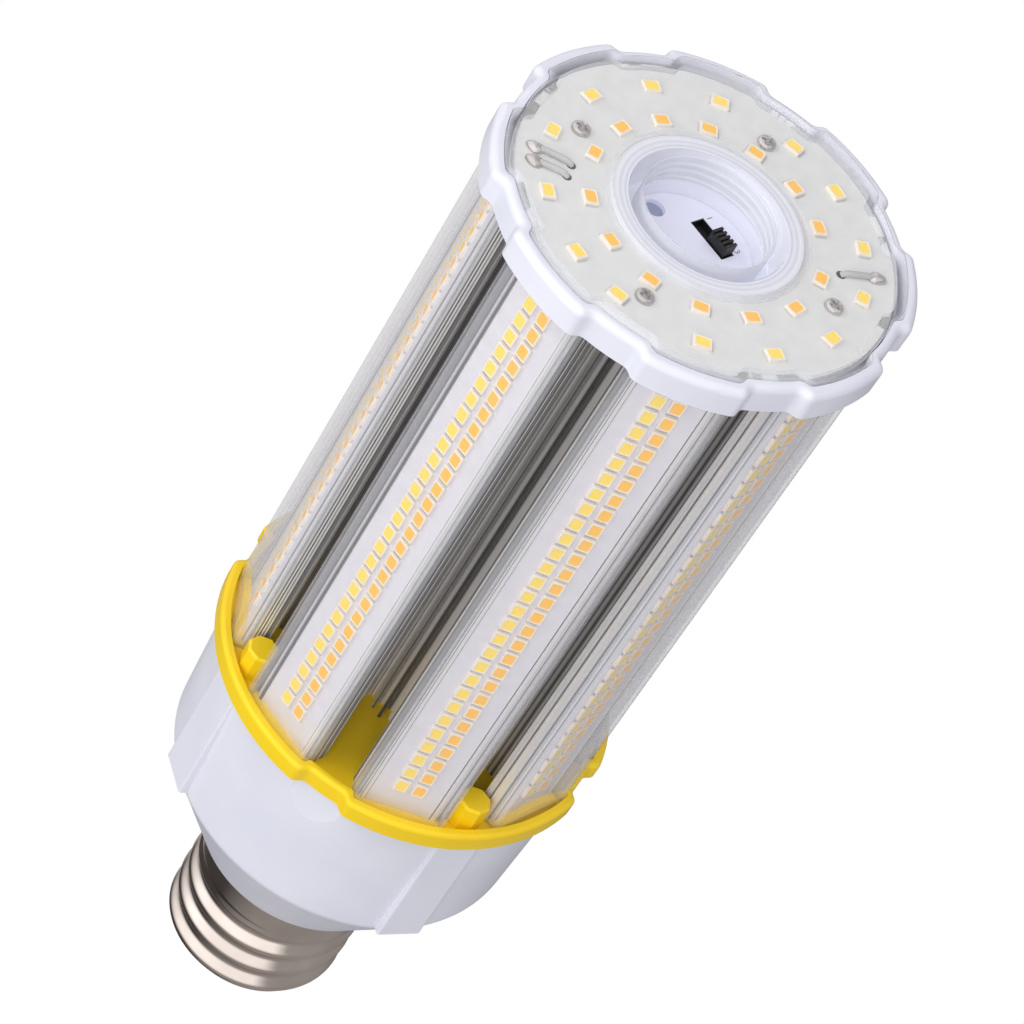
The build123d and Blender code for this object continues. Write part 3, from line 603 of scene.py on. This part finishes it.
# Finishes of the CAD pieces that keep their own shape
NODE_FINISHES = {
    "heat_sink": aluminium,
    "end_plate": sheet_aluminium,
    "end_board": end_mask,
    "end_ring": white_plastic,
    "switch_cup": cup_white,
    "driver_housing": white_plastic,
    "collar": yellow_plastic,
    "end_lens": end_clear,
    "plate_screws": steel,
    "foot_screws": steel,
    "housing_screws": steel,
    "switch_body": black_plastic,
    "switch_knob": black_plastic,
    "rectifier": black_plastic,
    "switch_harness": grey_sleeve,
    "base_leads": grey_sleeve,
    "driver_board": laminate,
    "transformer": ferrite,
    "choke": ferrite,
    "capacitors": sleeve_film,
    "centre_contact": nickel,
    "base_insulator": base_glass,
}
for number in range(1, STRIP_COUNT + 1):
    NODE_FINISHES[f"led_board_{number}"] = strip_mask
    NODE_FINISHES[f"strip_lens_{number}"] = strip_clear
for name, finish in NODE_FINISHES.items():
    nodes[name].data.materials.clear()
    nodes[name].data.materials.append(finish)


# LED packages: a pale case with a phosphor-filled pocket and a solder joint at each end
def rounded_rectangle(half_u, half_v, corner):
    """Points round a rectangle with rounded corners, counter-clockwise."""
    points = []
    for quarter, (side_u, side_v) in enumerate(((1, 1), (-1, 1), (-1, -1), (1, -1))):
        for step in range(LED_CORNER_STEPS + 1):
            angle = math.radians(90 * (quarter + step / LED_CORNER_STEPS))
            u = side_u * (half_u - corner) + corner * math.cos(angle)
            v = side_v * (half_v - corner) + corner * math.sin(angle)
            points.append((u, v))
    return points


def led_package(half_u, half_v, height):
    """Points, faces and face materials of one package in its own frame, with its foot at w 0."""
    pocket = LED_RIM + LED_POCKET
    loops = [
        (rounded_rectangle(half_u, half_v, LED_EDGE), 0.0),
        (rounded_rectangle(half_u, half_v, LED_EDGE), height - LED_EDGE),
        (rounded_rectangle(half_u - LED_EDGE, half_v - LED_EDGE, LED_EDGE), height),
        (rounded_rectangle(half_u - LED_RIM, half_v - LED_RIM, LED_CORNER), height),
        (rounded_rectangle(half_u - pocket, half_v - pocket, LED_CORNER), height - LED_POCKET),
    ]
    columns = len(loops[0][0])
    points = [Vector((u, v, w)) for loop, w in loops for u, v in loop]
    faces = ring_faces(len(loops), columns)
    indices = [0] * len(faces)
    faces.append(tuple(range(columns * (len(loops) - 1), columns * len(loops))))
    indices.append(1)
    reach = half_u - SOLDER_INSET
    quads = ((0, 1, 3, 2), (4, 6, 7, 5), (2, 3, 7, 6), (0, 4, 5, 1), (0, 2, 6, 4), (1, 5, 7, 3))
    for side in (-1, 1):
        near = side * (half_v - SOLDER_OVERLAP)
        far = side * (half_v + SOLDER_LENGTH)
        first = len(points)
        for w, v in ((0.0, near), (0.0, far), (SOLDER_HEIGHT, near), (SOLDER_TOE_HEIGHT, far)):
            points.extend((Vector((-reach, v, w)), Vector((reach, v, w))))
        for quad in quads:
            faces.append(tuple(first + k for k in (quad if side > 0 else reversed(quad))))
            indices.append(2)
    return points, faces, indices


def led_row(name, node, upright, fill):
    """All packages of one CAD node, set where its solids stand; upright ones face up, others outward."""
    points, faces, indices = [], [], []
    for group in islands(node):
        centre = middle_of(group)
        outward = Vector((centre.x, centre.y, 0)).normalized()
        if upright:
            u_axis, v_axis, w_axis = outward, Vector((-outward.y, outward.x, 0)), UP
        else:
            turn = (math.floor(math.atan2(outward.y, outward.x) / STRIP_ANGLE) + 0.5) * STRIP_ANGLE
            w_axis = polar(1, turn, 0)
            u_axis, v_axis = Vector((-w_axis.y, w_axis.x, 0)), UP
        halves = [max((p - centre).dot(axis) for p in group) for axis in (u_axis, v_axis, w_axis)]
        foot = centre - w_axis * halves[2]
        first = len(points)
        local, quads, kinds = led_package(halves[0], halves[1], 2 * halves[2])
        flip = u_axis.cross(v_axis).dot(w_axis) < 0
        points.extend(foot + u_axis * p.x + v_axis * p.y + w_axis * p.z for p in local)
        faces.extend(tuple(first + k for k in (reversed(q) if flip else q)) for q in quads)
        indices.extend(kinds)
    piece = mesh_piece(name, points, faces, (led_case, fill, tin_joint), indices)
    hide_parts(node)


for number in range(1, STRIP_COUNT + 1):
    led_row(f"cool_led_row_{number}", f"cool_leds_{number}", False, cool_phosphor)
    led_row(f"warm_led_row_{number}", f"warm_leds_{number}", False, warm_phosphor)
led_row("cool_led_ring", "end_cool_leds", True, cool_phosphor)
led_row("warm_led_ring", "end_warm_leds", True, warm_phosphor)


# Screw shell: rolled sheet with a rounded right-hand thread
def shell_radius(angle, z):
    """The shell's outer radius at an angle and a height."""
    crest = shell_high.x
    phase = (z - CREST_Z) / THREAD_PITCH - (angle - CREST_ANGLE) / math.tau
    wave = 0.5 + 0.5 * math.cos(math.tau * phase)
    fade_in = smooth_step(-SHELL_COLLAR, -SHELL_COLLAR - SHELL_RUNOUT, z)
    fade_out = smooth_step(shell_low.z + SHELL_CURL, shell_low.z + SHELL_FOOT + SHELL_CURL, z)
    return crest - THREAD_DEPTH * (1 - wave * fade_out) * fade_in


def build_shell():
    """The shell's outside down to its curled foot, and the sheet's inside back up."""
    outer = []
    for level in range(SHELL_LEVELS + 1):
        z = (shell_low.z + SHELL_CURL) * level / SHELL_LEVELS
        outer.append([(shell_radius(angle, z), z) for angle in turns(SHELL_COLUMNS)])
    inner = [[(r - SHELL_WALL, z) for r, z in row] for row in outer]
    inner.append([(SHELL_LIP_R, shell_low.z + SHELL_WALL)] * SHELL_COLUMNS)
    for step in range(1, CURL_STEPS + 1):
        turn = math.radians(90 * step / CURL_STEPS)
        z = shell_low.z + SHELL_CURL * (1 - math.sin(turn))
        outer.append([(r - SHELL_CURL * (1 - math.cos(turn)), z) for r, _ in outer[SHELL_LEVELS]])
    outer.append([(SHELL_LIP_R, shell_low.z)] * SHELL_COLUMNS)
    points, faces = turned_sheet(outer + inner[::-1])
    piece = mesh_piece("threaded_shell", points, faces, (nickel,))
    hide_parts("screw_shell")


build_shell()


# Ridges in the bore of the clear sleeve
def build_sleeve_ridges():
    """A ridged skin on the bore, of which the ridges climb once round per pitch and fade at both ends."""
    bottom = cup_floor_z + SLEEVE_STEP_HEIGHT
    top = lens_top - RIDGE_TOP
    rows = []
    for level in range(RIDGE_LEVELS + 1):
        z = bottom + (top - bottom) * level / RIDGE_LEVELS
        fade = smooth_step(bottom, bottom + RIDGE_FADE_LOW, z)
        fade *= 1 - smooth_step(top - RIDGE_FADE_HIGH, top, z)
        row = []
        for angle in turns(RIDGE_COLUMNS):
            wave = max(0.0, math.cos(math.tau * (z - bottom) / RIDGE_PITCH - angle)) ** RIDGE_FULLNESS
            row.append((SLEEVE_BORE_R - RIDGE_SKIN - RIDGE_DEPTH * wave * fade, z))
        rows.append(row)
    for z in (top, bottom):
        rows.append([(SLEEVE_BORE_R + RIDGE_SKIN, z)] * RIDGE_COLUMNS)
    points, faces = turned_sheet(rows)
    mesh_piece("sleeve_ridges", points, faces, (ridge_clear,))


build_sleeve_ridges()


# Pan-head screws of the end board, with a cross recess
def head_height(r, angle, head_r):
    """Height of a pan head's face at a radius and an angle, less its cross recess."""
    crown = math.sqrt(max(0.0, 1 - (r / head_r) ** HEAD_CURVE))
    dome = HEAD_HEIGHT * (HEAD_RIM_SHARE + (1 - HEAD_RIM_SHARE) * crown)
    across, along = sorted((abs(r * math.cos(angle)), abs(r * math.sin(angle))))
    inside = (1 - smooth_step(*RECESS_SIDES, across)) * (1 - smooth_step(*RECESS_ENDS, along))
    return dome - RECESS_DEPTH * inside


def build_head_screws():
    """All heads as one piece, each with its recess turned a little further than the last."""
    points, faces = [], []
    for number, group in enumerate(islands("end_screws")):
        centre = middle_of(group)
        centre.z = board_top
        head_r = max((p - centre).to_2d().length for p in group)
        first = len(points)
        for z in (0.0, HEAD_RIM_SHARE * HEAD_HEIGHT):
            points.extend(centre + polar(head_r, angle, z) for angle in turns(HEAD_COLUMNS))
        for level in range(1, HEAD_LEVELS):
            r = head_r * (1 - level / HEAD_LEVELS)
            for angle in turns(HEAD_COLUMNS):
                z = head_height(r, angle + RECESS_TURN * number, head_r)
                points.append(centre + polar(r, angle, z))
        faces += capped_faces(HEAD_LEVELS + 1, HEAD_COLUMNS, first)
    piece = mesh_piece("pan_head_screws", points, faces, (steel,))
    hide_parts("end_screws")


build_head_screws()


# Leads on the end board: each comes up through its hole, lies on the board and ends in a blob of solder,
# and a black disc of painted shade lies over its hole
def tube(path):
    """Points and faces of a lead along a path."""
    points = []
    for number, at in enumerate(path):
        ahead = path[min(number + 1, len(path) - 1)]
        behind = path[max(number - 1, 0)]
        along = (ahead - behind).normalized()
        side = along.cross(UP).normalized()
        over = side.cross(along)
        for angle in turns(LEAD_COLUMNS):
            points.append(at + (side * math.cos(angle) + over * math.sin(angle)) * LEAD_R)
    return points, capped_faces(len(path), LEAD_COLUMNS)


def blob(centre, along):
    """Points and faces of a drop of solder that has run along its lead."""
    side = Vector((-along.y, along.x, 0))
    points = []
    for row in range(BLOB_ROWS):
        lift = math.radians(90 * row / BLOB_ROWS)
        for angle in turns(BLOB_COLUMNS):
            lobe = BLOB_LOBE_SHARE * math.cos(BLOB_LOBES * angle + BLOB_LOBE_TURN)
            r = BLOB_R * math.cos(lift) * (1 + lobe)
            spot = centre + along * (BLOB_STRETCH * r * math.cos(angle)) + side * (r * math.sin(angle))
            points.append(spot + UP * (BLOB_HEIGHT * math.sin(lift)))
    return points, capped_faces(BLOB_ROWS, BLOB_COLUMNS)


def disc(centre, radius, thick):
    """Points and faces of a thin round disc on a level."""
    points = [centre + polar(radius, angle, z) for z in (0.0, thick) for angle in turns(DISC_COLUMNS)]
    return points, capped_faces(2, DISC_COLUMNS)


def lead_path(start, end):
    """Points from a lead's hole, over the board and down into its solder."""
    path = []
    for step in range(LEAD_STEPS + 1):
        share = step / LEAD_STEPS
        lift = LEAD_LIFT * smooth_step(*LEAD_RISE, share) - LEAD_DIP * smooth_step(*LEAD_FALL, share)
        if step == 0:
            lift -= LEAD_SINK
        path.append(start.lerp(end, share) + UP * lift)
    return path


def build_leads():
    """All leads as one piece: sleeve, solder and a black disc of painted shade at the hole of each."""
    points, faces, indices = [], [], []
    for hole, pad in LEAD_RUNS:
        start = Vector((*hole, 0)) * MM + UP * board_top
        end = Vector((*pad, 0)) * MM + UP * board_top
        drop = blob(end, (end - start).normalized())
        # The black disc over each hole is painted shade
        shapes = (tube(lead_path(start, end)), drop, disc(start, HOLE_SHADE_R, HOLE_SHADE_THICK))
        for kind, (shape_points, shape_faces) in enumerate(shapes):
            first = len(points)
            points.extend(shape_points)
            faces.extend(tuple(first + k for k in face) for face in shape_faces)
            indices.extend([kind] * len(shape_faces))
    finishes = (grey_sleeve, solder, black_plastic)
    piece = mesh_piece("soldered_leads", points, faces, finishes, indices)
    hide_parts("end_leads")


build_leads()


# Painted shade: a darker disc on the floor of the dimple beside the selector
def build_dimple_painted_shade():
    """A thin darker disc on the dimple's floor, as painted shade."""
    points, faces = disc(DIMPLE_AT + UP * (cup_floor_z - DIMPLE_DEPTH), DIMPLE_R, DIMPLE_SHADE_DISC_THICK)
    mesh_piece("dimple_painted_shade_disc", points, faces, (dimple_painted_shade,))


build_dimple_painted_shade()


# Plain numerals beside the selector slot
def build_numerals():
    """One flat numeral for each setting, in a row along the slot."""
    along = polar(1, SWITCH_ANGLE, 0)
    across = Vector((-along.y, along.x, 0))
    for place, number in enumerate(NUMERALS):
        text = bpy.data.curves.new("numeral_" + number, "FONT")
        text.body = number
        text.size = NUMERAL_SIZE
        text.extrude = NUMERAL_THICK
        text.align_x = "CENTER"
        flat = bpy.data.objects.new("numeral_flat", text)
        scene.collection.objects.link(flat)
        mesh = bpy.data.meshes.new_from_object(flat.evaluated_get(bpy.context.evaluated_depsgraph_get()))
        bpy.data.objects.remove(flat)
        mesh.materials.clear()
        mesh.materials.append(numeral_ink)
        piece = bpy.data.objects.new("numeral_" + number, mesh)
        scene.collection.objects.link(piece)
        offset = (place - len(NUMERALS) // 2) * NUMERAL_PITCH
        at = SWITCH_AT + along * offset + across * NUMERAL_BESIDE + UP * cup_floor_z
        piece.matrix_world = Matrix.Translation(at) @ Matrix.Rotation(SWITCH_ANGLE, 4, "Z")
        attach(piece, "lamp")


build_numerals()


# Studio: soft lamps, a white surround and the camera
def build_lamp(name, direction, distance, size, power, mirrored=True):
    """A soft lamp that looks at the middle of the object from a direction; mirrored ones show in metal."""
    light = bpy.data.lights.new(name, "AREA")
    light.shape = "RECTANGLE"
    light.size, light.size_y = size
    light.energy = power
    lamp = bpy.data.objects.new(name, light)
    scene.collection.objects.link(lamp)
    middle = (cad_low + cad_high) / 2
    lamp.location = middle + Vector(direction).normalized() * distance
    lamp.visible_glossy = mirrored
    lamp.rotation_mode = "QUATERNION"
    lamp.rotation_quaternion = (middle - lamp.location).to_track_quat("-Z", "Y")


def azimuth_ramp(tree, azimuth, tint, stops):
    """Brightness round the studio: a tint times a value at each azimuth in degrees."""
    colours = [((degrees + 180) / 360, [t * value for t in tint] + [1.0]) for degrees, value in stops]
    return colour_ramp(tree, azimuth, colours)


def build_world():
    """White where it is seen, even light on plain surfaces, and panels and dark flags in reflections."""
    world = bpy.data.worlds.new("studio")
    scene.world = world
    world.use_nodes = True
    tree = world.node_tree
    direction = add_node(tree, "TexCoord")["Generated"]
    parts = add_node(tree, "SeparateXYZ", {"Vector": direction})
    azimuth = map_range(tree, math_node(tree, "ARCTAN2", parts["Y"], parts["X"]), (-math.pi, math.pi))
    deep = azimuth_ramp(tree, azimuth, DEEP_TINT, DEEP_STOPS)
    table = azimuth_ramp(tree, azimuth, TABLE_TINT, TABLE_STOPS)
    panels = azimuth_ramp(tree, azimuth, PANEL_TINT, PANEL_STOPS)
    table_share = map_range(tree, parts["Z"], TABLE_RISE, interpolation="SMOOTHSTEP")
    panel_share = map_range(tree, parts["Z"], PANEL_RISE, interpolation="SMOOTHSTEP")
    below = mix_colours(tree, table_share, deep, table)
    around = mix_colours(tree, panel_share, below, panels)
    strength = map_range(tree, parts["Z"], AMBIENT_RISE, (AMBIENT_BELOW, AMBIENT))
    set_inputs(tree, tree.nodes["Background"], {"Color": AMBIENT_COLOUR, "Strength": strength})
    ambient = tree.nodes["Background"].outputs["Background"]
    mirror = add_node(tree, "Background", {"Color": around})["Background"]
    white = add_node(tree, "Background", {"Color": WHITE})["Background"]
    rays = add_node(tree, "LightPath")
    soft = mix_shaders(tree, rays["Is Glossy Ray"], ambient, mirror)
    in_view = math_node(tree, "MAXIMUM", rays["Is Camera Ray"], rays["Is Transmission Ray"])
    seen = mix_shaders(tree, in_view, soft, white)
    tree.links.new(seen, tree.nodes["World Output"].inputs["Surface"])


def build_camera():
    """The camera at the photograph's angle."""
    data = bpy.data.cameras.new("camera")
    data.lens = CAMERA_LENS
    data.sensor_width = CAMERA_SENSOR
    data.clip_start, data.clip_end = CAMERA_CLIP
    camera = bpy.data.objects.new("camera", data)
    scene.collection.objects.link(camera)
    back = CAMERA_RIGHT.cross(-CAMERA_DOWN)
    turn = Matrix((CAMERA_RIGHT, -CAMERA_DOWN, back)).transposed().to_4x4()
    camera.matrix_world = Matrix.Translation(CAMERA_AT) @ turn
    scene.camera = camera


build_lamp("key", (-0.665, -0.445, 0.592), distance=0.9, size=(0.7, 0.7), power=3.4, mirrored=False)
build_lamp("fill", (0.424, 0.03, 0.871), distance=1.0, size=(0.8, 0.8), power=1.25)
build_lamp("front", (0.03, -0.93, 0.37), distance=1.0, size=(0.5, 0.9), power=4.0, mirrored=False)
build_world()
build_camera()
scene.view_settings.view_transform = "Standard"
